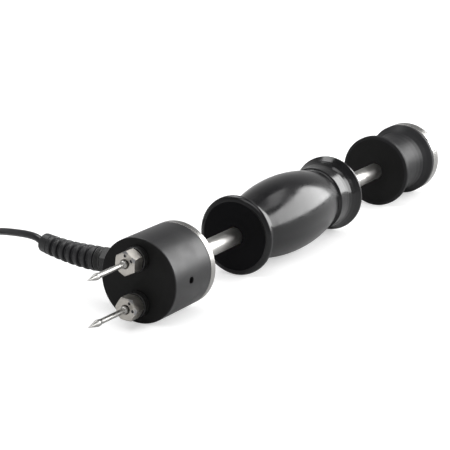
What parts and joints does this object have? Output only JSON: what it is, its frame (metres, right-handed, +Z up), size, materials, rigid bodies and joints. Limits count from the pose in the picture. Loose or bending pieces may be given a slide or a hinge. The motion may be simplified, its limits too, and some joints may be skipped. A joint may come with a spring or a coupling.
{
  "type": "ram-in moisture meter electrode",
  "caption": "Ram-in pin electrode with a slide hammer on a steel rod, needle electrodes in clamping nuts, a cable gland with bend relief and a coiled lead to a bayonet plug.",
  "frame": {"origin": "centre of the head's flat front face", "axes": "+X along the rod from the head to the end stop, +Z up with the tool lying on a flat surface, +Y towards the cable gland"},
  "size_m": [0.4458, 0.2921, 0.055],
  "materials": {
    "satin_black": "satin turned plastic, faint tool marks",
    "gloss_black": "polished deep gloss",
    "matt_black": "matt moulded nylon",
    "black_rubber": "moulded rubber, soft sheen",
    "cable_black": "smooth extruded sheath, semi-gloss",
    "ground_steel": "ground and polished",
    "turned_steel": "fine turned finish",
    "nut_steel": "satin, warm grey",
    "needle_steel": "drawn and ground",
    "weight_steel": "plain turned",
    "brass": "turned, slightly dull",
    "screw_steel": "zinc plated",
    "plug_nickel": "nickel plated",
    "white_insulator": "plain white plastic",
    "red_lead": "plain insulated wire",
    "blue_lead": "plain insulated wire"
  },
  "bodies": {
    "root": {"head_body": "satin_black", "anvil_plate": "turned_steel", "anvil_screw_1": "screw_steel", "anvil_screw_2": "screw_steel", "anvil_screw_3": "screw_steel", "set_screw": "screw_steel", "rod": "ground_steel", "end_stop": "satin_black", "end_plate": "turned_steel", "end_screw": "screw_steel", "upper_bush": "matt_black", "lower_bush": "matt_black", "upper_stud": "brass", "lower_stud": "brass", "upper_lug": "brass", "lower_lug": "brass", "upper_lock_nut": "brass", "lower_lock_nut": "brass", "upper_wire": "red_lead", "lower_wire": "blue_lead", "gland_washer": "black_rubber", "gland_body": "matt_black", "gland_lock_nut": "brass", "gland_nut": "matt_black", "strain_relief": "black_rubber", "cable": "cable_black", "cable_coil": "cable_black", "coil_tie": "matt_black", "cable_tail": "cable_black", "plug_boot": "black_rubber", "plug_body": "plug_nickel", "plug_insulator": "white_insulator", "plug_contact": "brass"},
    "hammer_slider": {"hammer_bush_front": "brass", "hammer_bush_rear": "brass"},
    "hammer": {"hammer_grip": "gloss_black", "hammer_weight": "weight_steel", "hammer_cap": "gloss_black"},
    "upper_needle": {"upper_pin": "needle_steel"},
    "upper_nut": {"upper_pin_nut": "nut_steel"},
    "lower_needle": {"lower_pin": "needle_steel"},
    "lower_nut": {"lower_pin_nut": "nut_steel"},
    "bayonet_ring": {"plug_ring": "plug_nickel"}
  },
  "joints": [
    {"name": "hammer_slide", "type": "slide", "parent": "root", "child": "hammer_slider", "axis": [1, 0, 0], "range_m": [-0.0692, 0.0779]},
    {"name": "hammer_spin", "type": "hinge", "parent": "hammer_slider", "child": "hammer", "pos_m": [0.185, 0, 0], "axis": [1, 0, 0], "continuous": true},
    {"name": "upper_needle_out", "type": "slide", "parent": "root", "child": "upper_needle", "axis": [-1, 0, 0], "range_m": [0, 0.004]},
    {"name": "upper_nut_turn", "type": "hinge", "parent": "upper_needle", "child": "upper_nut", "pos_m": [-0.0145, 0, 0.0145], "axis": [-1, 0, 0], "range_deg": [0, 1440]},
    {"name": "lower_needle_out", "type": "slide", "parent": "root", "child": "lower_needle", "axis": [-1, 0, 0], "range_m": [0, 0.004]},
    {"name": "lower_nut_turn", "type": "hinge", "parent": "lower_needle", "child": "lower_nut", "pos_m": [-0.0145, 0, -0.0145], "axis": [-1, 0, 0], "range_deg": [0, 1440]},
    {"name": "bayonet_turn", "type": "hinge", "parent": "root", "child": "bayonet_ring", "pos_m": [0.0191, 0.175, -0.0202], "axis": [0, -1, 0], "range_deg": [-90, 90]}
  ],
  "couplings": [
    {"joint": "upper_needle_out", "follows": "upper_nut_turn", "m_per_rad": 0.000159},
    {"joint": "lower_needle_out", "follows": "lower_nut_turn", "m_per_rad": 0.000159}
  ]
}
